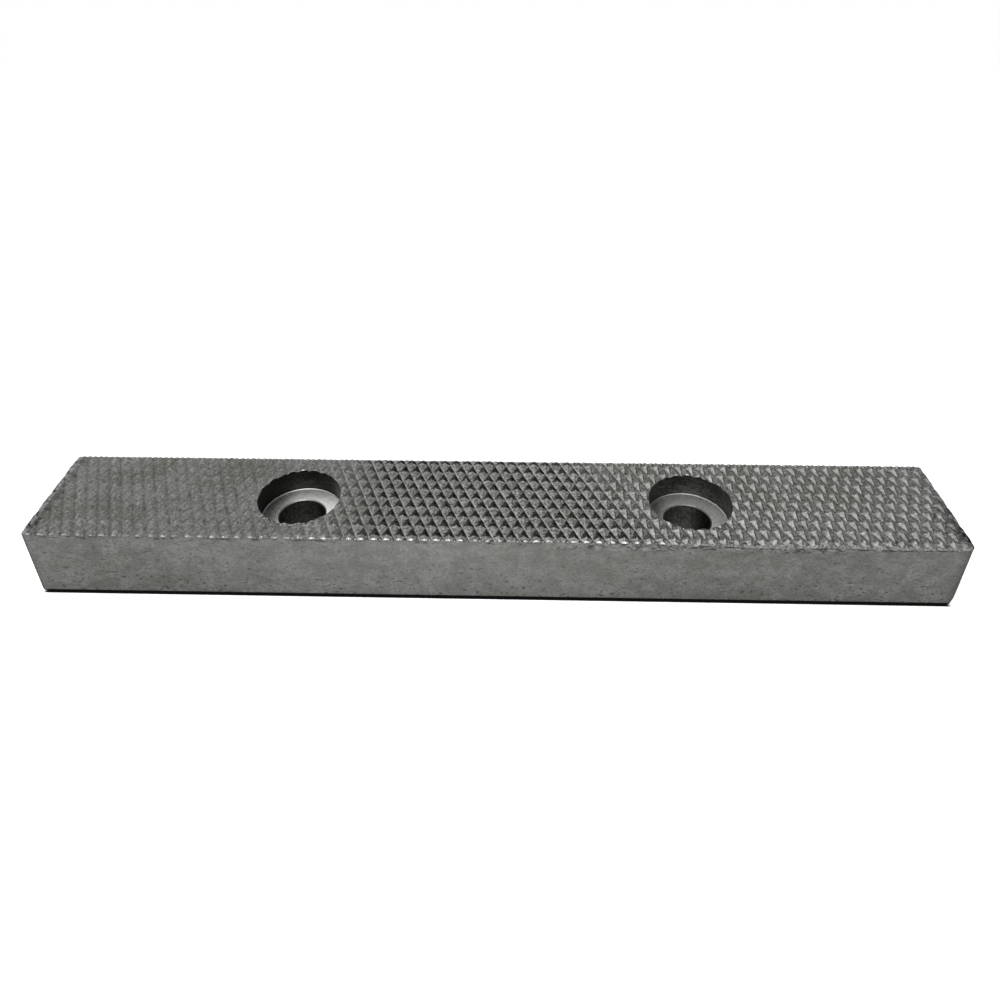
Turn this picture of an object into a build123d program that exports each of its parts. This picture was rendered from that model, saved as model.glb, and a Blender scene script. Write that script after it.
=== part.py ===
"""Serrated vise jaw insert: a flat steel plate whose gripping face is covered in small
pointed teeth, with two counterbored screw holes in a row along its length.

Frame: millimetres. The origin is the middle of the back face, the face that seats against
the vise. +X runs along the length, +Y across the width, and +Z out of the toothed face.
"""
import math
import os

from build123d import *

os.makedirs("parts", exist_ok=True)

# Plate
length = 138.1              # 5 7/16 in
width = 19.05               # 3/4 in
thickness = 11.8            # back face to the tooth tips
corner_radius = 0.6         # the four upright corners
back_edge_radius = 0.5      # around the back face

# Teeth: two crossed families of V grooves, each swung to one side of the width direction.
# Where the ridges of the two families cross, a tooth comes to its point.
tooth_pitch = 1.8143        # along the length, 14 teeth to the inch
groove_angle = 23.0         # degrees between a groove and the width direction
first_row_setback = 0.85    # from the front long edge to the first row of tips
main_groove_depth = 0.42    # the family that was cut deepest
cross_groove_depth = 0.38

# Screw holes, in a row along the length
hole_count = 2
hole_spacing = 60.3         # 2 3/8 in
screw_hole_diameter = 7.2   # clearance for a 1/4 in screw
screw_hole_chamfer = 0.15   # where the screw hole meets the floor of the recess
recess_diameter = 12.7      # takes the head of the screw
recess_depth = 4.0          # from the tooth tips to the floor
recess_floor_radius = 0.3   # left by the corner of the cutter

# The blank stands this much above the tooth tips, and the grooves take it all away
cutting_allowance = 1.0


def groove_profile(pitch, depth, reach):
    """Saw-toothed outline, one V per groove, that covers `reach` to each side of its start."""
    grooves = math.ceil(reach / pitch)
    top = thickness + 2 * cutting_allowance
    points = [(-grooves * pitch, thickness)]
    for index in range(-grooves, grooves):
        points.append(((index + 0.5) * pitch, thickness - depth))
        points.append(((index + 1) * pitch, thickness))
    points.append((grooves * pitch, top))
    points.append((-grooves * pitch, top))
    return points


# Square to the grooves, neighbours stand closer than they do along the length
groove_pitch = tooth_pitch * math.cos(math.radians(groove_angle))

# Both families are laid out from one tip in the first row, half a tooth off the middle.
# From there to the far corners is as far as a family has to reach.
first_tip = (tooth_pitch / 2, -width / 2 + first_row_setback)
face_reach = math.hypot(length / 2, width) + tooth_pitch

with BuildPart() as jaw_insert:
    # Blank, with its upright corners and the edge of its back face rounded
    Box(
        length,
        width,
        thickness + cutting_allowance,
        align=(Align.CENTER, Align.CENTER, Align.MIN),
    )
    fillet(jaw_insert.edges().filter_by(Axis.Z), radius=corner_radius)
    fillet(jaw_insert.faces().sort_by(Axis.Z)[0].edges(), radius=back_edge_radius)

    # Teeth: each family is one sketch of V grooves, drawn square to the grooves and run along them
    for swing, depth in ((groove_angle, main_groove_depth), (-groove_angle, cross_groove_depth)):
        across = Vector(1, 0, 0).rotate(Axis.Z, swing)
        along = Vector(0, 1, 0).rotate(Axis.Z, swing)
        with BuildSketch(Plane(origin=(*first_tip, 0), x_dir=across, z_dir=-along)):
            with BuildLine():
                Polyline(*groove_profile(groove_pitch, depth, face_reach), close=True)
            make_face()
        extrude(amount=face_reach, both=True, mode=Mode.SUBTRACT)

    # Screw holes, sunk through the teeth so that the screw heads stay below the tips
    with Locations((0, 0, thickness)):
        with GridLocations(hole_spacing, 0, hole_count, 1):
            CounterBoreHole(
                radius=screw_hole_diameter / 2,
                counter_bore_radius=recess_diameter / 2,
                counter_bore_depth=recess_depth,
            )
    recess_floors = jaw_insert.faces().filter_by(Plane.XY).group_by(Axis.Z)[-1]
    floor_edges = recess_floors.edges().group_by(SortBy.RADIUS)
    chamfer(floor_edges[0], length=screw_hole_chamfer)

    recess_floors = jaw_insert.faces().filter_by(Plane.XY).group_by(Axis.Z)[-1]
    floor_edges = recess_floors.edges().group_by(SortBy.RADIUS)
    fillet(floor_edges[-1], radius=recess_floor_radius)

jaw_insert.part.label = "jaw_insert"
export_step(jaw_insert.part, "parts/jaw_insert.step")
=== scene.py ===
"""Serrated vise jaw insert: a dull steel plate with pointed teeth and two sunk screw holes.

Metres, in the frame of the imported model: +X along the plate, +Y across it to the rear edge,
+Z out of the teeth, and the origin in the middle of the back face.
"""
import math

import bmesh
import bpy
import numpy as np
from bpy.props import FloatProperty, FloatVectorProperty, IntProperty, PointerProperty
from mathutils import Matrix, Vector, noise


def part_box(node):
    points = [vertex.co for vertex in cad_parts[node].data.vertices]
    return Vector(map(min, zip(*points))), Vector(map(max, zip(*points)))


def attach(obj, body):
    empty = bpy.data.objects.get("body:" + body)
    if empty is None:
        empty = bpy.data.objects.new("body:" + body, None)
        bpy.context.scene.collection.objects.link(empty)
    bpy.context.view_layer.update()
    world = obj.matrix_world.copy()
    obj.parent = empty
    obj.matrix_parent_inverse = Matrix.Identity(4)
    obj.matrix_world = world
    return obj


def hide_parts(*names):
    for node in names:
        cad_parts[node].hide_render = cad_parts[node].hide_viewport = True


bl_info = {
    "name": "Serrated Jaw Insert",
    "version": (1, 0, 0),
    "blender": (4, 5, 0),
    "location": "3D View > Sidebar > Jaw Insert",
    "description": "Cuts a serrated vise jaw insert, finishes its steel and sets up a studio",
    "category": "Add Mesh",
}

NODE = "jaw_insert"
MM = 0.001

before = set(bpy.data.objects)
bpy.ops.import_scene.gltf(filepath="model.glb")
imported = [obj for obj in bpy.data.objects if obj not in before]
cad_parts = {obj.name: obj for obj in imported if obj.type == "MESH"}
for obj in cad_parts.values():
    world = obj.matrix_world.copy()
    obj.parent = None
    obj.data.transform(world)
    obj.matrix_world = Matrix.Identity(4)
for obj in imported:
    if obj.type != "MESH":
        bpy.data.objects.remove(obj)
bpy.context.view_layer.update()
LOW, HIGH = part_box(NODE)

# The surfaces of the plate, in the order of its material slots
TEETH, SIDE, EDGE, SEAM, END, UNDER, WALL, HOLE, FLOOR, BACK = range(10)


# Settings

def size(name, description, default, **more):
    """A length that a user may change, in metres."""
    return FloatProperty(
        name=name, description=description, default=default, unit="LENGTH", precision=5, **more
    )


def colour(name, description, default):
    """A linear colour that a user may change."""
    return FloatVectorProperty(
        name=name, description=description, default=default, subtype="COLOR", min=0.0, max=1.0
    )


def level(name, description, default):
    """A strength or a power that a user may change."""
    return FloatProperty(name=name, description=description, default=default, min=0.0)


class JawPlateSettings(bpy.types.PropertyGroup):
    """Outline and edges of the plate."""

    length: size("Length", "Length of the plate", HIGH.x - LOW.x)
    width: size("Width", "Width of the plate", HIGH.y - LOW.y)
    thickness: size("Thickness", "Back face to tooth tips", HIGH.z - LOW.z)
    corner_radius: size("Corner radius", "Radius of the upright corners", 0.6 * MM)
    back_radius: size("Back edge radius", "Radius around the back face", 0.5 * MM)
    end_wear: size("End wear", "How far the right end is worn in at its back edge", 0.7 * MM)
    edge_break: size("Edge break", "Dulled edge where the teeth end at the long sides", 0.27 * MM)
    end_break: size("End break", "Width of the dressed edge at both ends", 0.65 * MM)
    rolled_edge: size("Rolled edge", "Height of the rolled edge at the front right", 0.80 * MM)
    rolled_from: size("Rolled from", "Where along the plate the rolled edge begins", 22.0 * MM)


class JawTeethSettings(bpy.types.PropertyGroup):
    """The two crossed families of V grooves."""

    pitch: size("Pitch", "Tooth pitch along the length", 1.8143 * MM)
    angle: FloatProperty(
        name="Groove angle",
        description="Angle between a groove and the width direction",
        default=math.radians(23.0),
        subtype="ANGLE",
    )
    setback: size("First row", "Front long edge to the first row of tips", 0.85 * MM)
    main_depth: size("Main depth", "Depth of the deeper grooves", 0.42 * MM)
    cross_depth: size("Cross depth", "Depth of the crossing grooves", 0.38 * MM)
    wander: size("Wander", "How far a groove strays from its place", 0.015 * MM)
    wear: size("Tip wear", "Typical height lost at a tooth's tip", 0.035 * MM)
    crush: size("Crush", "Height that the tips lose towards the right end", 0.16 * MM)
    ripple: size("Ripple", "Unevenness left on the flanks by the cutter", 0.015 * MM)
    seed: IntProperty(name="Seed", description="Picks the unevenness of the teeth", default=7)


class JawHoleSettings(bpy.types.PropertyGroup):
    """Screw holes and the recesses for the screw heads."""

    spacing: size("Spacing", "Distance between the two holes", 60.3 * MM)
    screw_diameter: size("Screw hole", "Diameter of the screw hole", 7.2 * MM)
    mouth_chamfer: size("Mouth chamfer", "Chamfer of the screw hole's mouth", 0.15 * MM)
    recess_diameter: size("Recess", "Diameter of the head recess", 12.7 * MM)
    recess_depth: size("Recess depth", "Tooth tips to the recess floor", 4.0 * MM)
    floor_radius: size("Floor radius", "Radius around the recess floor", 0.3 * MM)
    rim_break: size("Rim break", "Dulled edge around the recess", 0.18 * MM)


class JawFinishSettings(bpy.types.PropertyGroup):
    """Colours of the steel, and of the painted light and shade on it."""

    cut_steel: colour("Cut steel", "Flanks of the teeth", (0.180, 0.180, 0.174))
    side_steel: colour("Side steel", "Ground sides of the plate", (0.188, 0.188, 0.181))
    # Also the colour of painted highlights and glints
    bright_steel_and_sheen: colour("Bright steel", "Burrs, worn tips and recess floors", (0.50, 0.50, 0.49))
    bore_steel: colour("Bore steel", "Walls of recesses and screw holes", (0.05, 0.05, 0.048))
    # Also the colour of painted shade behind the teeth, in grooves, round the bores and at the back
    # edge
    oil_and_shade: colour("Old oil", "Oil behind the teeth and at the back edge", (0.008, 0.008, 0.007))
    stain: colour("Stain", "Olive stain on the steel", (0.128, 0.130, 0.108))


class JawStageSettings(bpy.types.PropertyGroup):
    """Floor, light and camera."""

    floor: colour("Floor", "Colour of the floor", (0.80, 0.80, 0.80))
    eye_gain: level("Eye gain", "How much paler the floor is to the eye than to the light", 2.4)
    gloss_gain: level("Gloss gain", "How much paler it is where the steel mirrors it", 1.5)
    dome: level("Dome", "Strength of the light from overhead", 0.55)
    key: level("Key", "Power in watts of the soft light behind on the left", 0.62)
    fill: level("Fill", "Power in watts of the soft light behind the camera", 0.29)


# Mesh helpers

ROUND_STEPS = 5  # faces across a rounded edge


def new_object(name, mesh):
    """An object for the mesh, linked to the scene."""
    piece = bpy.data.objects.new(name, mesh)
    bpy.context.scene.collection.objects.link(piece)
    return piece


def share_slots(piece, materials):
    """Gives a piece all the plate's materials, so that every cut keeps its face's finish."""
    for material in materials:
        piece.data.materials.append(material)


def ring_stack(name, rings, surfaces, ends):
    """A closed solid through a stack of rings, with a surface for each band and both ends.

    Each ring runs anticlockwise seen from above, and the stack starts at the bottom.
    """
    bm = bmesh.new()
    loops = [[bm.verts.new(point) for point in ring] for ring in rings]
    for lower, upper, surface in zip(loops, loops[1:], surfaces):
        for index in range(len(lower)):
            after = (index + 1) % len(lower)
            face = bm.faces.new((lower[index], lower[after], upper[after], upper[index]))
            face.material_index = surface
    bm.faces.new(reversed(loops[0])).material_index = ends[0]
    bm.faces.new(loops[-1]).material_index = ends[1]
    mesh = bpy.data.meshes.new(name)
    bm.to_mesh(mesh)
    bm.free()
    return new_object(name, mesh)


def round_edge(radius):
    """Points of a quarter circle: in from the side and up from the bottom, from below upwards."""
    turns = [math.radians(90 * part / ROUND_STEPS) for part in range(ROUND_STEPS + 1)]
    return [(radius * (1 - math.sin(turn)), radius * (1 - math.cos(turn))) for turn in turns]


def grain_at(x, y, layer, width):
    """Smooth noise between about -1 and 1, with features of the width."""
    return noise.noise(Vector((x, y, layer * width)) / width)


def combine(target, tool, operation):
    """Applies one boolean to the target and deletes the tool."""
    step = target.modifiers.new(operation.title(), "BOOLEAN")
    step.operation = operation
    step.solver = "MANIFOLD"
    step.object = tool
    bpy.context.view_layer.update()
    depsgraph = bpy.context.evaluated_depsgraph_get()
    cut = bpy.data.meshes.new_from_object(target.evaluated_get(depsgraph))
    target.modifiers.clear()
    target.data = cut
    bpy.data.objects.remove(tool)


# Teeth

FLANK_STOPS = (0.0, 0.05, 0.36, 0.70, 1.0)  # where a flank gets points, in cross depths
DEPTH_SPREAD = 0.03  # how far a groove's depth strays, as a share of it
CRUSHED_LENGTH = 3.5 * MM  # how far the crushed tips reach in from the right end


def groove_lines(pitch, depth, drops, reach, teeth, rng):
    """Lines along one family of grooves: places across it, drop below the ridge, ridge index."""
    count = math.ceil(reach / pitch)
    valleys = (np.arange(-count, count) + 0.5) * pitch
    valleys += rng.normal(0.0, teeth.wander, len(valleys))
    depths = depth * (1.0 + rng.normal(0.0, DEPTH_SPREAD, len(valleys)))
    ridges = np.concatenate(([-count * pitch], (valleys[1:] + valleys[:-1]) / 2, [count * pitch]))
    places, falls, owners = [], [], []
    for index, valley in enumerate(valleys):
        down = np.array(drops) / depth
        for share in down:
            places.append(ridges[index] + (valley - ridges[index]) * share)
            falls.append(depths[index] * share)
            owners.append(index)
        for share in down[-2:0:-1]:
            places.append(ridges[index + 1] + (valley - ridges[index + 1]) * share)
            falls.append(depths[index] * share)
            owners.append(index + 1)
    return np.array(places), np.array(falls), np.array(owners)


def split_squares(main_drop, cross_drop, i, j):
    """Two triangles for each square, split along the line from a tip to a crossing of grooves."""
    columns = len(cross_drop)
    a, b = i * columns + j, (i + 1) * columns + j
    c, d = b + 1, a + 1
    falling_main = main_drop[i + 1] > main_drop[i]
    falling_cross = cross_drop[j + 1] > cross_drop[j]
    same = (falling_main == falling_cross)[:, None]
    first = np.where(same, np.stack((a, b, c), 1), np.stack((a, b, d), 1))
    second = np.where(same, np.stack((a, c, d), 1), np.stack((b, c, d), 1))
    return np.concatenate((first, second))


def trim_and_close(mesh, plate, margin):
    """Trims the toothed sheet a little outside the plate and closes it into a block."""
    bm = bmesh.new()
    bm.from_mesh(mesh)
    for normal, reach in (
        (Vector((1, 0, 0)), plate.length / 2),
        (Vector((-1, 0, 0)), plate.length / 2),
        (Vector((0, 1, 0)), plate.width / 2),
        (Vector((0, -1, 0)), plate.width / 2),
    ):
        bmesh.ops.bisect_plane(
            bm,
            geom=bm.verts[:] + bm.edges[:] + bm.faces[:],
            plane_co=normal * (reach + margin / 4),
            plane_no=normal,
            clear_outer=True,
        )
    rim = [edge for edge in bm.edges if edge.is_boundary]
    skirt = bmesh.ops.extrude_edge_only(bm, edges=rim)["geom"]
    for vert in (part for part in skirt if isinstance(part, bmesh.types.BMVert)):
        vert.co.z = -margin
    bottom = [edge for edge in bm.edges if edge.is_boundary]
    bmesh.ops.holes_fill(bm, edges=bottom, sides=0)
    bmesh.ops.recalc_face_normals(bm, faces=bm.faces)
    bm.to_mesh(mesh)
    bm.free()


def toothed_block(plate, teeth):
    """A block a little larger than the plate, with the crossed grooves cut into its top."""
    rng = np.random.default_rng(teeth.seed)
    angle = teeth.angle
    pitch = teeth.pitch * math.cos(angle)
    reach = math.hypot(plate.length / 2, plate.width) + 2 * teeth.pitch
    drops = [teeth.cross_depth * share for share in FLANK_STOPS]
    main_at, main_drop, main_ridge = groove_lines(
        pitch, teeth.main_depth, drops + [teeth.main_depth], reach, teeth, rng
    )
    cross_at, cross_drop, cross_ridge = groove_lines(
        pitch, teeth.cross_depth, drops, reach, teeth, rng
    )

    # Both families are laid out from one tip in the first row, half a tooth off the middle
    across_main, across_cross = np.meshgrid(main_at, cross_at, indexing="ij")
    x = (across_main + across_cross) / (2 * math.cos(angle)) + teeth.pitch / 2
    y = (across_main - across_cross) / (2 * math.sin(angle)) + teeth.setback - plate.width / 2
    drop = np.maximum(main_drop[:, None], cross_drop[None, :])

    # Each tip is worn by its own amount, and those at the right end are crushed as well
    wear = teeth.wear * rng.gamma(2.0, 0.5, (main_ridge.max() + 1, cross_ridge.max() + 1))
    crushed = np.clip((x - plate.length / 2) / CRUSHED_LENGTH + 1.0, 0.0, 1.0) * teeth.crush
    drop = np.maximum(drop, wear[main_ridge[:, None], cross_ridge[None, :]] + crushed)

    margin = teeth.pitch
    middle_x = (x[:-1, :-1] + x[1:, 1:]) / 2
    middle_y = (y[:-1, :-1] + y[1:, 1:]) / 2
    inside = (np.abs(middle_x) < plate.length / 2 + margin) & (
        np.abs(middle_y) < plate.width / 2 + margin
    )
    triangles = split_squares(main_drop, cross_drop, *np.nonzero(inside))
    used, compact = np.unique(triangles, return_inverse=True)
    points = np.stack((x.ravel()[used], y.ravel()[used], drop.ravel()[used]), 1)
    broad = np.array([grain_at(x, y, layer=0, width=0.9 * MM) for x, y, _ in points])
    fine = np.array([grain_at(x, y, layer=1, width=0.35 * MM) for x, y, _ in points])
    points[:, 2] = plate.thickness - points[:, 2] - teeth.ripple * (1.6 + broad + 0.6 * fine)
    mesh = bpy.data.meshes.new("toothed_block")
    mesh.from_pydata(points.tolist(), [], compact.reshape(triangles.shape).tolist())
    trim_and_close(mesh, plate, margin)
    return new_object("toothed_block", mesh)


# Plate

CORNER_STEPS = 6  # faces round an upright corner
SMALLEST_RADIUS = 0.05 * MM
OUTLINE_STEP = 0.4 * MM  # distance between points along a straight side
SIDE_LEVELS = (0.8 * MM, 1.2 * MM, 1.8 * MM)  # heights of the rings low on the sides
ROLL_GROWS = 14 * MM  # length over which the rolled edge reaches its full height
ROLL_LEAN = 0.22 * MM  # how far the rolled edge leans in
SEAM_HEIGHT = 0.26 * MM  # height of the seam under the rolled edge
SEAM_DEPTH = 0.12  # its depth, as a share of its height
PAST_TIPS = 0.4 * MM  # how far the blank stands above the tooth tips
CUTTER_STEPS = 180  # faces round a bore
CUTTER_FLARE = 0.6 * MM  # height and width of the cutter's flare above the recess


def outline(plate, inset):
    """Points round the plate with rounded corners: the place and the direction out."""
    half_x, half_y = plate.length / 2 - inset, plate.width / 2 - inset
    radius = max(plate.corner_radius - inset, SMALLEST_RADIUS)
    corners = ((1, -1, -90), (1, 1, 0), (-1, 1, 90), (-1, -1, 180))
    points = []
    for side_x, side_y, start in corners:
        centre = Vector((side_x * (half_x - radius), side_y * (half_y - radius)))
        for part in range(CORNER_STEPS + 1):
            turn = math.radians(start + 90 * part / CORNER_STEPS)
            out = Vector((math.cos(turn), math.sin(turn)))
            points.append((centre + out * radius, out))
    filled = []
    for index, (place, out) in enumerate(points):
        filled.append((place, out))
        following, next_out = points[(index + 1) % len(points)]
        gap = following - place
        if index % (CORNER_STEPS + 1) == CORNER_STEPS:
            side = plate.length if abs(gap.x) > abs(gap.y) else plate.width
            pieces = round(side / OUTLINE_STEP)
            filled += [(place + gap * part / pieces, next_out) for part in range(1, pieces)]
    return filled


def edge_form(plate, place, out):
    """How the edge at the teeth is dulled there: its height, its lean and how far it is rolled."""
    rough = grain_at(place.x, place.y, layer=0, width=0.7 * MM)
    wavy = grain_at(place.x, place.y, layer=1, width=9.0 * MM)
    at_end, at_front = abs(out.x) > 0.5, out.y <= -0.5
    if at_end:
        width = plate.end_break * (1.0 + 0.3 * rough)
        return 0.45 * width, width, 0.0
    height = plate.edge_break * (1.0 + 0.25 * rough)
    lean = plate.edge_break * (1.0 + 0.4 * rough)
    if not at_front:
        return height, lean, 0.0
    roll = min(max((place.x - plate.rolled_from) / ROLL_GROWS, 0.0), 1.0)
    height += roll * (plate.rolled_edge * (1.0 + 0.25 * wavy + 0.12 * rough) - height)
    lean += roll * (ROLL_LEAN * (1.0 + 0.6 * rough) - lean)
    return height, lean, roll


def plate_blank(plate):
    """The plate's outside: rounded back edge, straight sides and dulled edges at the teeth.

    Low down, the right end is worn in, most at the back edge.
    """
    top, lip = plate.thickness, SEAM_HEIGHT
    rings = []
    for inset, height in round_edge(plate.back_radius) + [(0.0, above) for above in SIDE_LEVELS]:
        worn = plate.end_wear * max(1.0 - height / SIDE_LEVELS[-1], 0.0) ** 2
        rings.append([
            (place.x - max(out.x, 0.0) * worn, place.y, height)
            for place, out in outline(plate, inset)
        ])
    below, notch, shoulder, crown = [], [], [], []
    for place, out in outline(plate, 0.0):
        height, lean, roll = edge_form(plate, place, out)
        below.append((*place, top - height - lip))
        notch.append((*(place - out * roll * SEAM_DEPTH * lip), top - height - lip / 3))
        shoulder.append((*place, top - height))
        crown.append((*(place - out * lean * (height + PAST_TIPS) / height), top + PAST_TIPS))
    rings += [below, notch, shoulder, crown]
    sides = [SIDE] * (len(SIDE_LEVELS) + 1)
    surfaces = [UNDER] * ROUND_STEPS + sides + [SEAM, SEAM, EDGE]
    blank = ring_stack("plate_blank", rings, surfaces, (BACK, TEETH))
    for face in blank.data.polygons:
        at_end = abs(face.normal.x) > abs(face.normal.y)
        rolled = face.center.y < 0 and face.center.x > plate.rolled_from and not at_end
        if face.material_index == SEAM and not rolled:
            face.material_index = SIDE
        if face.material_index == EDGE and at_end:
            face.material_index = END
    return blank


def recess_cutter(plate, holes, centre_x):
    """What the drill and the counterbore take away at one screw hole."""
    top = plate.thickness
    floor = top - holes.recess_depth
    recess, screw = holes.recess_diameter / 2, holes.screw_diameter / 2
    mouth, flare = holes.mouth_chamfer, CUTTER_FLARE
    profile = [(screw, -MM), (screw, floor - mouth), (screw + mouth, floor)]
    profile += [(recess - inset, floor + rise) for inset, rise in round_edge(holes.floor_radius)]
    on_floor = 3  # bands of the rounded edge that are finished like the floor
    rounded = [FLOOR] * on_floor + [WALL] * (ROUND_STEPS - on_floor)
    surfaces = [HOLE, FLOOR, FLOOR] + rounded + [WALL, EDGE]
    rings = [[] for _ in range(len(profile) + 2)]
    for step in range(CUTTER_STEPS):
        turn = 2 * math.pi * step / CUTTER_STEPS
        x, y = math.cos(turn), math.sin(turn)
        rough = grain_at(x * recess, y * recess, layer=2, width=0.6 * MM)
        shoulder = top - holes.rim_break * (1.0 + 0.8 * rough)
        cut = profile + [(recess, shoulder), (recess + flare, shoulder + flare)]
        for ring, (reach, height) in zip(rings, cut):
            ring.append((centre_x + reach * x, reach * y, height))
    return ring_stack("recess_cutter", rings, surfaces, (HOLE, TEETH))


# Shader helpers

TURN_RADIUS = 6.0  # radius in millimetres at which marks round a hole keep their length


def tinted(colour, gain=1.0):
    """A colour times a gain, with the fourth part that a node asks for."""
    return (*[gain * part for part in colour], 1.0)


def sockets(group, ins, outs):
    """Gives a node group its named inputs with defaults, and its outputs."""
    for name, kind, default in ins:
        socket = group.interface.new_socket(name=name, in_out="INPUT", socket_type=kind)
        if default is not None:
            socket.default_value = default
    for name, kind in outs:
        group.interface.new_socket(name=name, in_out="OUTPUT", socket_type=kind)


class Graph:
    """Short calls for adding nodes to one node tree."""

    def __init__(self, tree):
        self.tree = tree

    def add(self, kind, feeds=None, **settings):
        """A node, with its settings made and its inputs linked or filled in."""
        node = self.tree.nodes.new(kind)
        for name, value in settings.items():
            setattr(node, name, value)
        for name, value in (feeds or {}).items():
            if isinstance(value, bpy.types.NodeSocket):
                self.tree.links.new(value, node.inputs[name])
            else:
                node.inputs[name].default_value = value
        return node

    def link(self, source, target):
        """Feeds one socket from another."""
        self.tree.links.new(source, target)

    def math(self, operation, first, second=0.0, clamp=False):
        """One step of arithmetic."""
        node = self.add("ShaderNodeMath", {0: first, 1: second}, operation=operation)
        node.use_clamp = clamp
        return node.outputs[0]

    def times(self, *factors):
        """The product of several values."""
        product = factors[0]
        for factor in factors[1:]:
            product = self.math("MULTIPLY", product, factor)
        return product

    def swing(self, value, amount):
        """One plus the value's swing about a half, times the amount."""
        return self.math("ADD", self.times(self.math("SUBTRACT", value, 0.5), amount), 1.0)

    def ramp(self, value, low, high, to_low=0.0, to_high=1.0):
        """The value mapped smoothly from one range to another, held at its ends."""
        node = self.add(
            "ShaderNodeMapRange",
            {0: value, 1: low, 2: high, 3: to_low, 4: to_high},
            interpolation_type="SMOOTHSTEP",
        )
        return node.outputs[0]

    def mix(self, share, first, second, blend="MIX"):
        """Two colours mixed."""
        node = self.add(
            "ShaderNodeMix", {0: share, 6: first, 7: second}, data_type="RGBA", blend_type=blend
        )
        return node.outputs[2]

    def split(self, vector):
        """A vector's three parts."""
        return self.add("ShaderNodeSeparateXYZ", {0: vector}).outputs

    def stretched(self, place, scale):
        """The place stretched along the axes."""
        node = self.add("ShaderNodeVectorMath", {0: place, 1: scale}, operation="MULTIPLY")
        return node.outputs[0]

    def cloud(self, place, scale, detail=2.0, roughness=0.5, distortion=0.0):
        """Soft noise with features of about one over the scale."""
        feeds = {"Vector": place, "Scale": scale, "Detail": detail,
                 "Roughness": roughness, "Distortion": distortion}
        return self.add("ShaderNodeTexNoise", feeds).outputs["Fac"]


def place_group():
    """Place on the plate in millimetres."""
    group = bpy.data.node_groups.new("Place in millimetres", "ShaderNodeTree")
    sockets(group, [], [("Place", "NodeSocketVector")])
    g = Graph(group)
    spot = g.add("ShaderNodeTexCoord").outputs["Object"]
    scaled = g.add("ShaderNodeVectorMath", {0: spot, "Scale": 1 / MM}, operation="SCALE")
    g.add("NodeGroupOutput", {"Place": scaled.outputs[0]})
    return group


def turned_group():
    """Place round the nearer screw hole in millimetres.

    Turned is along the turn, out from the hole and up. Reach is the distance from the middle of
    the hole, and Aside is how far a point lies to its right.
    """
    group = bpy.data.node_groups.new("Place round a hole", "ShaderNodeTree")
    sockets(
        group,
        [("Place", "NodeSocketVector", None), ("Half spacing", "NodeSocketFloat", 30.0)],
        [
            ("Turned", "NodeSocketVector"),
            ("Reach", "NodeSocketFloat"),
            ("Aside", "NodeSocketFloat"),
        ],
    )
    g = Graph(group)
    given = g.add("NodeGroupInput").outputs
    x, y, z = g.split(given["Place"])
    outward = g.math("SUBTRACT", g.math("ABSOLUTE", x), given["Half spacing"])
    reach = g.math("SQRT", g.math("ADD", g.times(outward, outward), g.times(y, y)))
    turn = g.times(g.math("ARCTAN2", y, outward), TURN_RADIUS)
    turned = g.add("ShaderNodeCombineXYZ", {0: turn, 1: reach, 2: z}).outputs[0]
    aside = g.math("SUBTRACT", x, g.times(g.math("SIGN", x), given["Half spacing"]))
    g.add("NodeGroupOutput", {"Turned": turned, "Reach": reach, "Aside": aside})
    return group


def steel_group():
    """Steel's own marks: fine grain, broad mottling, stains, dashes and pits."""
    group = bpy.data.node_groups.new("Steel marks", "ShaderNodeTree")
    sockets(
        group,
        [
            ("Place", "NodeSocketVector", None),
            ("Steel", "NodeSocketColor", (0.15, 0.15, 0.14, 1.0)),
            ("Stain", "NodeSocketColor", (0.11, 0.11, 0.09, 1.0)),
            ("Grain", "NodeSocketFloat", 0.3),
            ("Mottling", "NodeSocketFloat", 0.3),
            ("Staining", "NodeSocketFloat", 0.5),
            ("Dashes", "NodeSocketFloat", 0.0),
            ("Pits", "NodeSocketFloat", 0.3),
            ("Roughness", "NodeSocketFloat", 0.45),
        ],
        [
            ("Colour", "NodeSocketColor"),
            ("Roughness", "NodeSocketFloat"),
            ("Height", "NodeSocketFloat"),
        ],
    )
    g = Graph(group)
    given = g.add("NodeGroupInput").outputs
    place = given["Place"]

    # Clouds of noise, the fine ones first: scale per millimetre, detail, roughness, distortion
    grain = g.cloud(place, 2.6, 3.0, 0.75)
    coarse = g.cloud(place, 1.3, 3.0, 0.65)
    blotch = g.cloud(place, 0.16, 3.0, 0.55, 0.6)
    dashes = g.ramp(g.cloud(g.stretched(place, (0.75, 1.0, 2.4)), 1.2, 3.0, 0.6), 0.42, 0.33)
    pits = g.ramp(g.cloud(g.stretched(place, (0.8, 1.2, 1.5)), 1.5, 4.0, 0.72), 0.43, 0.35)
    stain = g.ramp(g.cloud(place, 0.085, 4.0, 0.6, 0.8), 0.48, 0.62)

    pitted = g.times(pits, given["Pits"])
    tone = g.times(
        g.math("MAXIMUM", g.swing(grain, g.times(given["Grain"], 4.0)), 0.15),
        g.swing(coarse, given["Grain"]),
        g.swing(blotch, g.times(given["Mottling"], 1.4)),
        g.math("SUBTRACT", 1.0, g.times(dashes, given["Dashes"])),
        g.math("SUBTRACT", 1.0, pitted),
    )
    base = g.mix(g.times(stain, given["Staining"]), given["Steel"], given["Stain"])
    grey = g.add("ShaderNodeCombineColor", {0: tone, 1: tone, 2: tone}).outputs[0]
    coloured = g.mix(1.0, base, grey, "MULTIPLY")
    rough = g.times(given["Roughness"], g.swing(coarse, 0.35))
    rough = g.math("ADD", rough, g.times(pitted, 0.2))
    height = g.math("SUBTRACT", g.times(grain, 0.6), g.times(pits, 0.5))
    g.add("NodeGroupOutput", {"Colour": coloured, "Roughness": rough, "Height": height})
    return group


# Materials

BUMP_DEPTH = 0.08 * MM
SHADE_SLANT = 0.6  # how much farther right the painted shade reaches for each step towards the front
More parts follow.
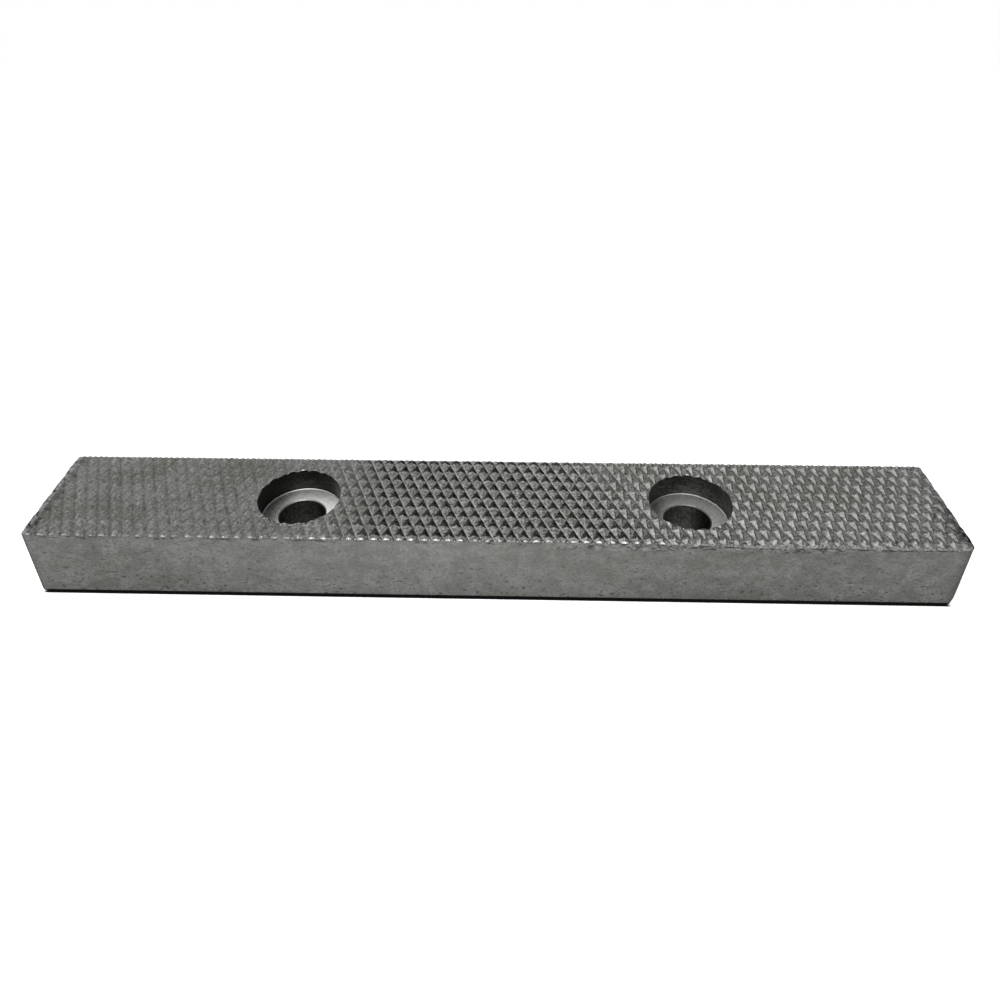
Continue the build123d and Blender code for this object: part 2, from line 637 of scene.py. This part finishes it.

# Stretches along the plate over which a finish, a painted light or a painted shade comes or goes,
# in millimetres from its middle
GRAIN_GROWS = (-40.0, 0.0)
DASHES_GROW = (-15.0, -60.0)
SHADE_COMES, SHADE_GOES = (-27.0, -16.0), (26.0, 13.0)
THIN_SHADE_GOES = (46.0, 22.0)
BAND_COMES = (-25.0, -42.0)
SHEEN_COMES, SHEEN_GOES = (-35.0, -18.0), (30.0, 14.0)
GLINTS_COME, GLINTS_GO = (-50.0, -15.0), (29.0, 17.0)
DENTS_COME, DENTS_GO = (6.0, 14.0), (62.0, 45.0)
GLOW_COMES = (8.0, 32.0)
GROOVES_DARKEN = (15.0, 35.0)
BACKS_DARKEN = (20.0, 45.0)
RIGHT_PART, FAR_RIGHT = (5.0, 30.0), (44.0, 58.0)
LEFT_HALF, RIGHT_HALF = (5.0, -5.0), (-5.0, 5.0)


class Steel:
    """Bare steel: a material, its graph, its place in millimetres and its marks."""

    def __init__(self, name, groups, steel, stain, marks, bump, gain=1.0, holes=None):
        """Takes the holes if the marks run round them, and a gain on the steel's colour."""
        self.material = bpy.data.materials.new(name)
        self.material.use_nodes = True
        self.material.node_tree.nodes.clear()
        self.g = g = Graph(self.material.node_tree)
        self.bump = bump
        self.shader = g.add("ShaderNodeBsdfPrincipled")
        self.shader.inputs["Metallic"].default_value = 1.0
        g.add("ShaderNodeOutputMaterial", {"Surface": self.shader.outputs[0]})
        self.place = g.add("ShaderNodeGroup", node_tree=groups["place"]).outputs["Place"]
        self.x, self.y, self.z = g.split(self.place)
        feeds = {"Place": self.place, "Steel": tinted(steel, gain), "Stain": tinted(stain), **marks}
        if holes is not None:
            self.hole = self.round_hole(groups, holes)
            feeds["Place"] = self.hole["Turned"]
        self.marks = g.add("ShaderNodeGroup", feeds, node_tree=groups["steel"])
        out = self.marks.outputs
        self.colour, self.roughness, self.height = out["Colour"], out["Roughness"], out["Height"]

    def round_hole(self, groups, holes):
        """Place round the nearer screw hole."""
        spot = {"Place": self.place, "Half spacing": holes.spacing / 2 / MM}
        return self.g.add("ShaderNodeGroup", spot, node_tree=groups["turned"]).outputs

    def unbroken(self, low, high):
        """Where a burr still stands, between the gaps where it has broken off. It places the
        painted glints on the burrs.
        """
        return self.g.ramp(self.g.cloud(self.place, 1.3, 2.0, 0.6), low, high)

    def paint(self, share, colour, gain=1.0):
        """Covers a share of the surface with a colour."""
        self.colour = self.g.mix(share, self.colour, tinted(colour, gain))

    def complete(self):
        """Links what the marks became to the shader and gives the material."""
        g, ins = self.g, self.shader.inputs
        g.link(self.colour, ins["Base Color"])
        g.link(self.roughness, ins["Roughness"])
        feeds = {"Height": self.height, "Strength": self.bump, "Distance": BUMP_DEPTH}
        g.link(g.add("ShaderNodeBump", feeds).outputs[0], ins["Normal"])
        return self.material


def tooth_cell(steel, plate, teeth):
    """Where a point lies in its tooth's cell, in millimetres.

    Its distance from the bottom of the main groove, how far it is to the right of the tip,
    and a value that is positive on the front flanks.
    """
    g = steel.g
    cos, sin = math.cos(teeth.angle), math.sin(teeth.angle)
    step = teeth.pitch * cos / MM
    x = g.math("SUBTRACT", steel.x, teeth.pitch / 2 / MM)
    y = g.math("SUBTRACT", steel.y, (teeth.setback - plate.width / 2) / MM)
    parts = []
    for side in (1, -1):
        across = g.math("ADD", g.times(x, cos), g.times(y, side * sin))
        turn = g.math("FLOORED_MODULO", g.math("ADD", across, step / 2), step)
        parts.append(g.math("SUBTRACT", turn, step / 2))
    main, cross = parts
    groove = g.math("SUBTRACT", step / 2, g.math("ABSOLUTE", main))
    right = g.times(g.math("ADD", main, cross), 1 / (2 * cos))
    return groove, right, g.math("SUBTRACT", cross, main)


def shade_rear_flanks(steel, cell, patchy, middle, finish):
    """Painted shade on the rear flanks: thickest behind the teeth in the middle of the plate,
    thinner round it, and on the rear left flanks at the right.
    """
    g, x, (_, right, ahead) = steel.g, steel.x, cell
    facing = g.split(g.add("ShaderNodeNewGeometry").outputs["True Normal"])
    rear = g.ramp(facing[1], 0.02, 0.12)
    uneven = g.ramp(g.cloud(steel.place, 1.9, 3.0, 0.7), 0.36, 0.56, 0.68, 1.0)
    thick = g.times(g.ramp(right, -0.7, 0.1, 0.74, 1.0), g.ramp(ahead, -1.5, -0.9, 0.8, 1.0))
    thick = g.times(thick, rear, middle, uneven)
    steel.paint(thick, finish.oil_and_shade)

    # Where the painted shade is thickest the steel is no metal and mirrors nothing
    g.link(g.math("SUBTRACT", 1.0, thick), steel.shader.inputs["Metallic"])
    steel.shader.inputs["Specular IOR Level"].default_value = 0.0

    thin_shade = g.ramp(g.math("ABSOLUTE", x), *THIN_SHADE_GOES, 0.0, 0.35)
    steel.paint(g.times(rear, thin_shade, g.ramp(patchy, 0.40, 0.62)), finish.oil_and_shade)
    # Painted shade on the rear left flanks towards the right end
    back_left = g.times(rear, g.ramp(right, 0.0, -0.1), g.ramp(x, *BACKS_DARKEN))
    steel.paint(g.times(back_left, g.ramp(x, *FAR_RIGHT, 0.15, 0.27)), finish.oil_and_shade)


def tone_front_flanks(steel, cell, patchy, middle, finish):
    """Front flanks: a painted highlight on the left halves to the right of the plate, painted shade
    near the grooves and in the middle, and a line of painted shade on the right halves.
    """
    g, x, (groove, tip, ahead) = steel.g, steel.x, cell
    front = g.ramp(ahead, 0.0, 0.06)
    left = g.times(front, g.ramp(tip, 0.03, -0.02))
    # Painted shade on the left halves next to the main groove, and across them in the middle
    deep = g.times(left, g.ramp(groove, 0.2, 0.03), g.ramp(x, *GROOVES_DARKEN, 0.0, 0.4))
    steel.paint(g.math("ADD", deep, g.times(left, middle, 0.12)), finish.oil_and_shade)
    # A painted highlight on the raised part of the left halves
    raised = g.times(left, g.ramp(tip, -0.85, -0.3), g.ramp(groove, 0.05, 0.3))
    glow = g.times(g.ramp(x, *GLOW_COMES, 0.0, 0.34), g.ramp(patchy, 0.35, 0.6, 0.5, 1.0))
    steel.paint(g.times(raised, glow), finish.bright_steel_and_sheen)

    # A line of painted shade on the right halves, and a little more at the far right
    right = g.times(front, g.ramp(tip, 0.0, 0.04))
    line = g.times(right, g.ramp(tip, 0.30, 0.16), g.ramp(x, *RIGHT_PART), 0.65)
    steel.paint(line, finish.oil_and_shade)
    steel.paint(g.times(right, g.ramp(x, *FAR_RIGHT, 0.0, 0.1)), finish.oil_and_shade)


def tone_grooves(steel, cell, patchy, finish):
    """Main grooves: a wide band of painted shade at the left, and a bottom rubbed bright in the
    middle with a painted highlight along it.
    """
    g, x, groove = steel.g, steel.x, cell[0]
    # Patches that break up both the painted shade and the painted highlight
    worn = g.ramp(patchy, 0.38, 0.58, 0.2, 1.0)
    # Painted shade in a wide band along the main grooves at the left
    band = g.times(g.ramp(groove, 0.5, 0.0), worn, g.ramp(x, *BAND_COMES), 0.3)
    steel.paint(band, finish.oil_and_shade)
    # A painted highlight along the rubbed bottoms of the main grooves in the middle
    sheen = g.times(g.ramp(x, *SHEEN_COMES), g.ramp(x, *SHEEN_GOES), 0.35)
    steel.paint(g.times(g.ramp(groove, 0.18, 0.05), worn, sheen), finish.bright_steel_and_sheen)


def darken_ends(steel, plate, patchy, finish):
    """Darker along both ends, most towards the front, and a broken bright line at the left one."""
    g, x, y = steel.g, steel.x, steel.y
    end = plate.length / 2 / MM
    spread = g.ramp(patchy, 0.38, 0.56, 0.3, 1.0)
    right = g.times(g.ramp(x, end - 2.0, end - 0.4), g.ramp(y, 6.0, -7.0, 0.2, 1.0))
    left = g.times(g.ramp(x, 2.8 - end, 0.8 - end), g.ramp(y, 6.0, -8.0, 0.5, 0.85))
    for darkening in (right, left):
        steel.paint(g.times(darkening, spread), finish.oil_and_shade)
    line = g.times(g.ramp(x, 1.1 - end, 0.4 - end), steel.unbroken(0.38, 0.52), 0.4)
    steel.paint(line, finish.bright_steel_and_sheen)


def wear_tips_and_paint_glints(steel, plate, patchy, finish):
    """Worn tips, brightest at the front right, and painted glints on the burrs where the teeth end
    at the long sides.
    """
    g, x, y, height = steel.g, steel.x, steel.y, steel.z
    top, side = plate.thickness / MM, plate.width / 2 / MM
    tips = g.times(g.ramp(height, top - 0.15, top - 0.05), g.ramp(patchy, 0.40, 0.62))
    first_rows = g.times(g.ramp(y, 2.5 - side, 1.2 - side), g.ramp(x, *RIGHT_PART, 0.0, 0.5))
    steel.paint(g.times(tips, g.math("ADD", first_rows, 0.3)), finish.bright_steel_and_sheen)
    # Painted glints on the burrs along the long sides
    lip = g.times(
        g.ramp(g.math("ABSOLUTE", y), side - 0.34, side - 0.20),
        g.ramp(height, top - 0.37, top - 0.30),
        steel.unbroken(0.38, 0.52),
        g.ramp(x, *GLINTS_GO, 0.2),
        g.ramp(x, *GLINTS_COME, 0.4),
    )
    steel.paint(lip, finish.bright_steel_and_sheen, 1.2)


def chip_rims(steel, groups, holes, finish):
    """Dark chips and bright burrs round the front of the recesses."""
    g = steel.g
    reach = steel.round_hole(groups, holes)["Reach"]
    rim = holes.recess_diameter / 2 / MM
    near = g.times(g.ramp(reach, rim + 0.8, rim + 0.2), g.ramp(steel.y, -3.0, -5.5))
    chips = g.cloud(steel.place, 3.0, 2.0, 0.6)
    steel.paint(g.times(near, g.ramp(chips, 0.48, 0.42), 0.85), finish.oil_and_shade)
    steel.paint(g.times(near, g.ramp(chips, 0.56, 0.66)), finish.bright_steel_and_sheen)


def teeth_material(groups, plate, teeth, holes, finish):
    """Cut flanks with bright worn metal and painted glints, and painted shade in the grooves and
    behind the teeth.
    """
    steel = Steel(
        "cut_teeth", groups, finish.cut_steel, finish.stain,
        {"Mottling": 0.3, "Staining": 0.6, "Pits": 0.35, "Roughness": 0.36}, bump=0.8,
    )
    g, x = steel.g, steel.x
    g.link(g.ramp(x, *GRAIN_GROWS, 0.62, 1.15), steel.marks.inputs["Grain"])
    cell = tooth_cell(steel, plate, teeth)
    patchy = g.cloud(steel.place, 0.9, 3.0, 0.6)
    # The middle of the plate, where the painted shade behind the teeth is thickest, slanting
    # towards the front
    slanted = g.math("ADD", x, g.times(steel.y, SHADE_SLANT))
    middle = g.times(g.ramp(x, *SHADE_COMES), g.ramp(slanted, *SHADE_GOES))
    shade_rear_flanks(steel, cell, patchy, middle, finish)
    tone_front_flanks(steel, cell, patchy, middle, finish)
    tone_grooves(steel, cell, patchy, finish)
    darken_ends(steel, plate, patchy, finish)
    wear_tips_and_paint_glints(steel, plate, patchy, finish)
    chip_rims(steel, groups, holes, finish)
    return steel.complete()


def side_material(groups, plate, finish):
    """Ground sides, most pitted low down, with dents under the rolled edge, a painted pool of light
    in the middle and painted shade at the corners.
    """
    steel = Steel(
        "ground_side", groups, finish.side_steel, finish.stain,
        {"Grain": 0.3, "Mottling": 0.3, "Staining": 0.4, "Roughness": 0.5}, bump=0.2,
    )
    g, x, height = steel.g, steel.x, steel.z
    top, end = plate.thickness / MM, plate.length / 2 / MM
    g.link(g.ramp(height, 7.0, 0.6, 0.35, 0.85), steel.marks.inputs["Pits"])
    g.link(g.ramp(x, *DASHES_GROW, 0.2, 0.38), steel.marks.inputs["Dashes"])

    # Broad dark clouds, and a painted pool of light that makes the middle slightly paler
    cloudy = g.cloud(g.stretched(steel.place, (0.7, 1.0, 1.0)), 0.55, 3.0, 0.6)
    steel.paint(g.ramp(cloudy, 0.60, 0.38, 0.0, 0.34), finish.side_steel, 0.45)
    off_middle = g.math("ABSOLUTE", g.math("ADD", x, 8.0))
    steel.paint(g.ramp(off_middle, 48.0, 8.0, 0.0, 0.06), finish.bright_steel_and_sheen)

    # Dark spots just under the teeth, and a dented band under the rolled edge
    lying = g.stretched(steel.place, (0.7, 1.0, 1.3))
    under = g.times(g.ramp(height, top - 1.0, top - 0.7), g.ramp(height, top - 0.3, top - 0.5))
    spots = g.ramp(g.cloud(lying, 1.0, 3.0, 0.6), 0.47, 0.38)
    steel.paint(g.times(under, spots, 0.6), finish.oil_and_shade)
    dented = g.times(
        g.ramp(height, top - 2.2, top - 1.2), g.ramp(x, *DENTS_COME), g.ramp(x, *DENTS_GO)
    )
    scars = g.cloud(lying, 1.1, 3.0, 0.65, 1.2)
    steel.paint(g.times(dented, g.ramp(scars, 0.48, 0.38), 0.7), finish.oil_and_shade)
    steel.paint(g.times(dented, g.ramp(scars, 0.52, 0.64), 0.28), finish.bright_steel_and_sheen)

    # Painted shade at the upright corners, over a longer stretch at the right
    steel.paint(g.ramp(g.math("ABSOLUTE", x), end - 0.9, end - 0.1, 0.0, 0.5), finish.oil_and_shade)
    steel.paint(g.ramp(x, end - 2.2, end - 0.3, 0.0, 0.25), finish.oil_and_shade)
    return steel.complete()


def edge_material(groups, plate, finish):
    """Burrs with painted glints, brightest where they stand up to the tips."""
    steel = Steel(
        "burred_edge", groups, finish.side_steel, finish.side_steel,
        {"Grain": 0.9, "Mottling": 0.4, "Staining": 0.3, "Pits": 0.5, "Roughness": 0.4},
        bump=0.9, gain=1.15,
    )
    g, x = steel.g, steel.x
    top = plate.thickness / MM
    # Painted glints where the burrs stand up to the tips
    high = g.times(g.ramp(steel.z, top - 0.45, top - 0.32), g.ramp(x, *GLINTS_GO, 0.25))
    glinting = g.times(steel.unbroken(0.40, 0.54), g.ramp(x, *GLINTS_COME, 0.4))
    steel.paint(g.times(high, glinting), finish.bright_steel_and_sheen, 1.3)
    return steel.complete()


def seam_material(groups, finish):
    """Painted shadow: the broken dark line under the rolled edge."""
    steel = Steel(
        "rolled_seam", groups, finish.side_steel, finish.stain,
        {"Grain": 0.8, "Mottling": 0.4, "Staining": 0.5, "Pits": 0.5, "Roughness": 0.5}, bump=0.6,
    )
    g = steel.g
    # Painted shadow under the rolled edge, broken into patches
    steel.paint(g.ramp(g.cloud(steel.place, 0.7, 3.0, 0.6), 0.42, 0.60, 0.0, 0.7), finish.oil_and_shade)
    return steel.complete()


def end_material(groups, finish):
    """Dark, rough dressed ends with specks of bright burr."""
    steel = Steel(
        "dressed_end", groups, finish.side_steel, finish.stain,
        {"Grain": 1.1, "Mottling": 0.4, "Staining": 0.5, "Pits": 0.7, "Roughness": 0.45},
        bump=0.9, gain=0.7,
    )
    g = steel.g
    darkening = g.times(g.ramp(steel.x, *RIGHT_HALF, 0.3, 0.8), g.ramp(steel.y, 6.0, -5.0, 0.4, 1.0))
    steel.paint(darkening, finish.oil_and_shade)
    specks = g.ramp(g.cloud(steel.place, 2.2, 2.0, 0.6), 0.56, 0.64)
    steel.paint(g.times(specks, 0.7), finish.bright_steel_and_sheen)
    return steel.complete()


def under_material(finish):
    """Painted shadow, black and dull, round the edge of the back face."""
    material = bpy.data.materials.new("shadowed_back_edge")
    material.use_nodes = True
    ins = material.node_tree.nodes["Principled BSDF"].inputs
    g = Graph(material.node_tree)
    patchy = g.cloud(g.add("ShaderNodeTexCoord").outputs["Object"], 0.9 / MM, 3.0, 0.6)
    g.link(g.mix(patchy, tinted(finish.oil_and_shade), tinted(finish.oil_and_shade, 2.5)), ins["Base Color"])
    g.link(g.ramp(patchy, 0.3, 0.7, 0.6, 0.8), ins["Roughness"])
    ins["Specular IOR Level"].default_value = 0.0
    return material


def bore_material(name, groups, holes, finish, gain, left_shade, right_shade, sheen):
    """Scratched dark steel round the bores, with painted shade and a painted highlight.

    Left shade darkens the whole of the left bore, right shade the right side of both, and sheen is
    how pale the painted highlight makes the far right of the left bore.
    """
    steel = Steel(
        name, groups, finish.bore_steel, finish.bore_steel,
        {"Grain": 0.8, "Mottling": 0.3, "Staining": 0.0, "Dashes": 0.5, "Pits": 0.3,
         "Roughness": 0.45},
        bump=0.3, gain=gain, holes=holes,
    )
    g, x, aside = steel.g, steel.x, steel.hole["Aside"]
    flat = {"Vector": g.stretched(steel.hole["Turned"], (0.5, 0.0, 1.0)), "Angle": 0.6}
    tilted = g.add("ShaderNodeVectorRotate", flat, rotation_type="Y_AXIS").outputs[0]
    scratches = g.cloud(g.stretched(tilted, (0.25, 1.0, 3.5)), 1.6, 3.0, 0.6)
    steel.paint(g.ramp(scratches, 0.54, 0.66, 0.0, 0.5), finish.side_steel)
    # Painted shade over the left bore and on the right side of the bores
    steel.paint(g.ramp(x, *LEFT_HALF, 0.0, left_shade), finish.oil_and_shade)
    steel.paint(g.ramp(aside, 1.0, 3.4, 0.0, right_shade), finish.oil_and_shade)
    # A painted highlight on the far right of the left bore
    pale = g.times(g.ramp(aside, 3.8, 6.1), g.ramp(x, *LEFT_HALF))
    pale = g.times(pale, g.ramp(scratches, 0.4, 0.6, 0.6, 1.0), sheen)
    steel.paint(pale, finish.side_steel)
    return steel.complete()


def floor_material(groups, holes, finish):
    """Bright turned recess floors with painted light on the right side of each, strongest in the
    left one, and painted shade on the left side of each and over the right one.
    """
    steel = Steel(
        "recess_floor", groups, finish.bright_steel_and_sheen, finish.stain,
        {"Grain": 0.45, "Mottling": 0.3, "Staining": 0.0, "Pits": 0.2, "Roughness": 0.5},
        bump=0.3, gain=1.15, holes=holes,
    )
    g, x, reach, aside = steel.g, steel.x, steel.hole["Reach"], steel.hole["Aside"]
    rings = g.cloud(g.stretched(steel.hole["Turned"], (0.04, 1.0, 0.0)), 4.5, 2.0, 0.6)
    steel.height = g.math("ADD", g.times(steel.height, 0.4), g.times(rings, 2.0))
    steel.paint(g.ramp(rings, 0.50, 0.38, 0.0, 0.25), finish.side_steel)
    # Painted light on the right side of each floor, strongest in the left recess
    lit_side = g.times(g.ramp(x, *LEFT_HALF, 0.35, 1.0), g.ramp(aside, -4.5, -1.5))
    patchy = g.ramp(g.cloud(steel.place, 1.1, 4.0, 0.65), 0.38, 0.58, 0.72, 1.0)
    steel.paint(g.times(lit_side, patchy), finish.bright_steel_and_sheen, 1.72)
    # Painted shade on the left side of each floor and over the right floor
    steel.paint(g.ramp(aside, -1.5, -5.5, 0.0, 0.72), finish.oil_and_shade)
    steel.paint(g.ramp(x, *RIGHT_HALF, 0.0, 0.25), finish.oil_and_shade)

    # Darker at the mouth of the screw hole, and painted shade in the corner under the wall
    mouth = (holes.screw_diameter / 2 + holes.mouth_chamfer) / MM
    wall = holes.recess_diameter / 2 / MM
    steel.paint(g.ramp(reach, mouth + 0.04, mouth - 0.02, 0.0, 0.7), finish.oil_and_shade)
    steel.paint(g.ramp(reach, wall - 0.35, wall - 0.2, 0.0, 0.55), finish.side_steel)
    return steel.complete()


def finish_materials(plate, teeth, holes, finish):
    """The materials in the order of the plate's surfaces."""
    groups = {"place": place_group(), "turned": turned_group(), "steel": steel_group()}
    back = Steel(
        "back_face", groups, finish.side_steel, finish.stain,
        {"Grain": 0.5, "Mottling": 0.4, "Staining": 0.5, "Dashes": 0.15, "Pits": 0.35,
         "Roughness": 0.48},
        bump=0.2,
    )
    wall = {"gain": 1.3, "left_shade": 0.78, "right_shade": 0.0, "sheen": 0.6}
    hole = {"gain": 5.4, "left_shade": 0.45, "right_shade": 0.85, "sheen": 0.0}
    return [
        teeth_material(groups, plate, teeth, holes, finish),
        side_material(groups, plate, finish),
        edge_material(groups, plate, finish),
        seam_material(groups, finish),
        end_material(groups, finish),
        under_material(finish),
        bore_material("recess_wall", groups, holes, finish, **wall),
        bore_material("screw_hole", groups, holes, finish, **hole),
        floor_material(groups, holes, finish),
        back.complete(),
    ]


# Stage

FLOOR_REACH = 0.4  # half the side of the floor
FAR_FLOOR = (0.13, 0.35)  # distances over which the floor gets paler still to the eye
FAR_GAIN = 4.0
FOOT_LINE = (0.34 * MM, 0.18 * MM)  # where the painted contact shadow ahead of the front face fades in
FOOT_TAPER = 0.8 * MM  # how far from the ends it is full
FOOT_SHADOW_COLOUR = (0.01, 0.01, 0.01)


def lay_floor(stage, plate):
    """A pale floor that is white to the eye, with a painted contact shadow: a dark line at the
    front face's foot.
    """
    material = bpy.data.materials.new("pale_floor")
    material.use_nodes = True
    material.node_tree.nodes.clear()
    g = Graph(material.node_tree)
    path = g.add("ShaderNodeLightPath").outputs
    mirrored = g.math("ADD", path["Is Glossy Ray"], path["Is Transmission Ray"], clamp=True)
    shown = g.mix(mirrored, tinted(stage.floor), tinted(stage.floor, stage.gloss_gain))
    spot = g.add("ShaderNodeTexCoord").outputs["Object"]
    away = g.add("ShaderNodeVectorMath", {0: spot}, operation="LENGTH").outputs["Value"]
    near_white = tinted(stage.floor, stage.eye_gain)
    far_white = tinted(stage.floor, stage.eye_gain * FAR_GAIN)
    white = g.mix(g.ramp(away, *FAR_FLOOR), near_white, far_white)
    shown = g.mix(path["Is Camera Ray"], shown, white)

    x, y, _ = g.split(spot)
    # Painted contact shadow along the foot of the front face
    ahead = g.math("SUBTRACT", -plate.width / 2, y)
    line = g.times(g.ramp(ahead, *FOOT_LINE), g.math("GREATER_THAN", ahead, -MM))
    end = plate.length / 2
    line = g.times(line, g.ramp(g.math("ABSOLUTE", x), end, end - FOOT_TAPER))
    shown = g.mix(line, shown, tinted(FOOT_SHADOW_COLOUR))
    paint = g.add("ShaderNodeBsdfDiffuse", {"Color": shown})
    g.add("ShaderNodeOutputMaterial", {"Surface": paint.outputs[0]})
    bm = bmesh.new()
    bmesh.ops.create_grid(bm, x_segments=1, y_segments=1, size=FLOOR_REACH)
    mesh = bpy.data.meshes.new("floor")
    bm.to_mesh(mesh)
    bm.free()
    mesh.materials.append(material)
    new_object("floor", mesh)


def light_studio(stage):
    """Soft light from overhead, white surroundings to the eye, and two soft lamps."""
    world = bpy.data.worlds.new("studio")
    bpy.context.scene.world = world
    world.use_nodes = True
    world.node_tree.nodes.clear()
    g = Graph(world.node_tree)
    path = g.add("ShaderNodeLightPath").outputs
    seen = g.math("ADD", path["Is Camera Ray"], path["Is Glossy Ray"])
    seen = g.math("ADD", seen, path["Is Transmission Ray"], clamp=True)
    up = g.split(g.add("ShaderNodeTexCoord").outputs["Generated"])[2]
    overhead = g.ramp(up, 0.1, 0.9, 0.0, stage.dome)
    strength = g.math("MULTIPLY", overhead, g.math("SUBTRACT", 1.0, seen))
    back = g.add("ShaderNodeBackground", {"Color": (1.0, 1.0, 1.0, 1.0)})
    g.link(g.math("ADD", strength, seen), back.inputs["Strength"])
    g.add("ShaderNodeOutputWorld", {"Surface": back.outputs[0]})
    lamps = (
        ("key_light", stage.key, Vector((-0.27, 0.20, 0.50)), 0.45),
        ("fill_light", stage.fill, Vector((-0.012, -0.16, 0.15)), 0.12),
    )
    for name, power, place, width in lamps:
        lamp = bpy.data.lights.new(name, "AREA")
        lamp.energy = power
        lamp.shape = "DISK"
        lamp.size = width
        holder = bpy.data.objects.new(name, lamp)
        holder.location = place
        holder.rotation_euler = (-place).to_track_quat("-Z", "Y").to_euler()
        bpy.context.scene.collection.objects.link(holder)


def place_camera(scene):
    """The photograph's viewing angle."""
    camera = bpy.data.cameras.new("camera")
    camera.sensor_width = 36.0
    camera.lens = 29.175
    camera.shift_x = 0.0055
    camera.shift_y = -0.1149
    camera.clip_start = 0.01
    holder = bpy.data.objects.new("camera", camera)
    stand = Vector((2.20, -96.85, 80.58)) * MM + Vector((0.0, 0.0, HIGH.z))
    swing, dip, roll = math.radians(1.25), math.radians(31.87), math.radians(-0.04)
    turn = Matrix.Rotation(swing, 4, "Z") @ Matrix.Rotation(math.pi / 2 - dip, 4, "X")
    holder.matrix_world = Matrix.Translation(stand) @ turn @ Matrix.Rotation(roll, 4, "Z")
    scene.collection.objects.link(holder)
    scene.camera = holder


# Operators

SHARP_ANGLE = math.radians(11)


class JAW_OT_cut_insert(bpy.types.Operator):
    """Cut the jaw insert from its blank and give it its steel finishes"""

    bl_idname = "jaw.cut_insert"
    bl_label = "Cut the Jaw Insert"

    def execute(self, context):
        scene = context.scene
        plate, teeth, holes = scene.jaw_plate, scene.jaw_teeth, scene.jaw_holes
        materials = finish_materials(plate, teeth, holes, scene.jaw_finish)
        insert = plate_blank(plate)
        share_slots(insert, materials)
        cuts = [(toothed_block(plate, teeth), "INTERSECT")]
        for side in (-1, 1):
            cuts.append((recess_cutter(plate, holes, side * holes.spacing / 2), "DIFFERENCE"))
        for tool, operation in cuts:
            share_slots(tool, materials)
            combine(insert, tool, operation)
        insert.name = "serrated_insert"
        insert.data.name = insert.name
        insert.data.shade_smooth()
        insert.data.set_sharp_from_angle(angle=SHARP_ANGLE)
        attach(insert, "root")
        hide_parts(NODE)
        return {"FINISHED"}


class JAW_OT_set_stage(bpy.types.Operator):
    """Lay the floor, light the studio and place the camera"""

    bl_idname = "jaw.set_stage"
    bl_label = "Set the Stage"

    def execute(self, context):
        stage = context.scene.jaw_stage
        lay_floor(stage, context.scene.jaw_plate)
        light_studio(stage)
        place_camera(context.scene)
        context.scene.view_settings.view_transform = "Standard"
        return {"FINISHED"}


class JAW_PT_panel(bpy.types.Panel):
    """Lists the settings and the steps"""

    bl_label = "Jaw Insert"
    bl_idname = "JAW_PT_panel"
    bl_space_type = "VIEW_3D"
    bl_region_type = "UI"
    bl_category = "Jaw Insert"

    def draw(self, context):
        for name, group in SETTINGS.items():
            box = self.layout.box()
            box.label(text=name.replace("_", " ").title())
            for setting in group.__annotations__:
                box.prop(getattr(context.scene, name), setting)
        for step in STEPS:
            self.layout.operator(step.bl_idname)


SETTINGS = {
    "jaw_plate": JawPlateSettings,
    "jaw_teeth": JawTeethSettings,
    "jaw_holes": JawHoleSettings,
    "jaw_finish": JawFinishSettings,
    "jaw_stage": JawStageSettings,
}
STEPS = (JAW_OT_cut_insert, JAW_OT_set_stage)


def register():
    """Makes the settings, the operators and the panel known."""
    for name, group in SETTINGS.items():
        bpy.utils.register_class(group)
        setattr(bpy.types.Scene, name, PointerProperty(type=group))
    for step in (*STEPS, JAW_PT_panel):
        bpy.utils.register_class(step)


def unregister():
    """Takes them away again."""
    for step in (JAW_PT_panel, *reversed(STEPS)):
        bpy.utils.unregister_class(step)
    for name, group in SETTINGS.items():
        delattr(bpy.types.Scene, name)
        bpy.utils.unregister_class(group)


def main():
    """Builds everything in order."""
    register()
    bpy.ops.jaw.cut_insert()
    bpy.ops.jaw.set_stage()
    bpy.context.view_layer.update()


if __name__ == "__main__":
    main()
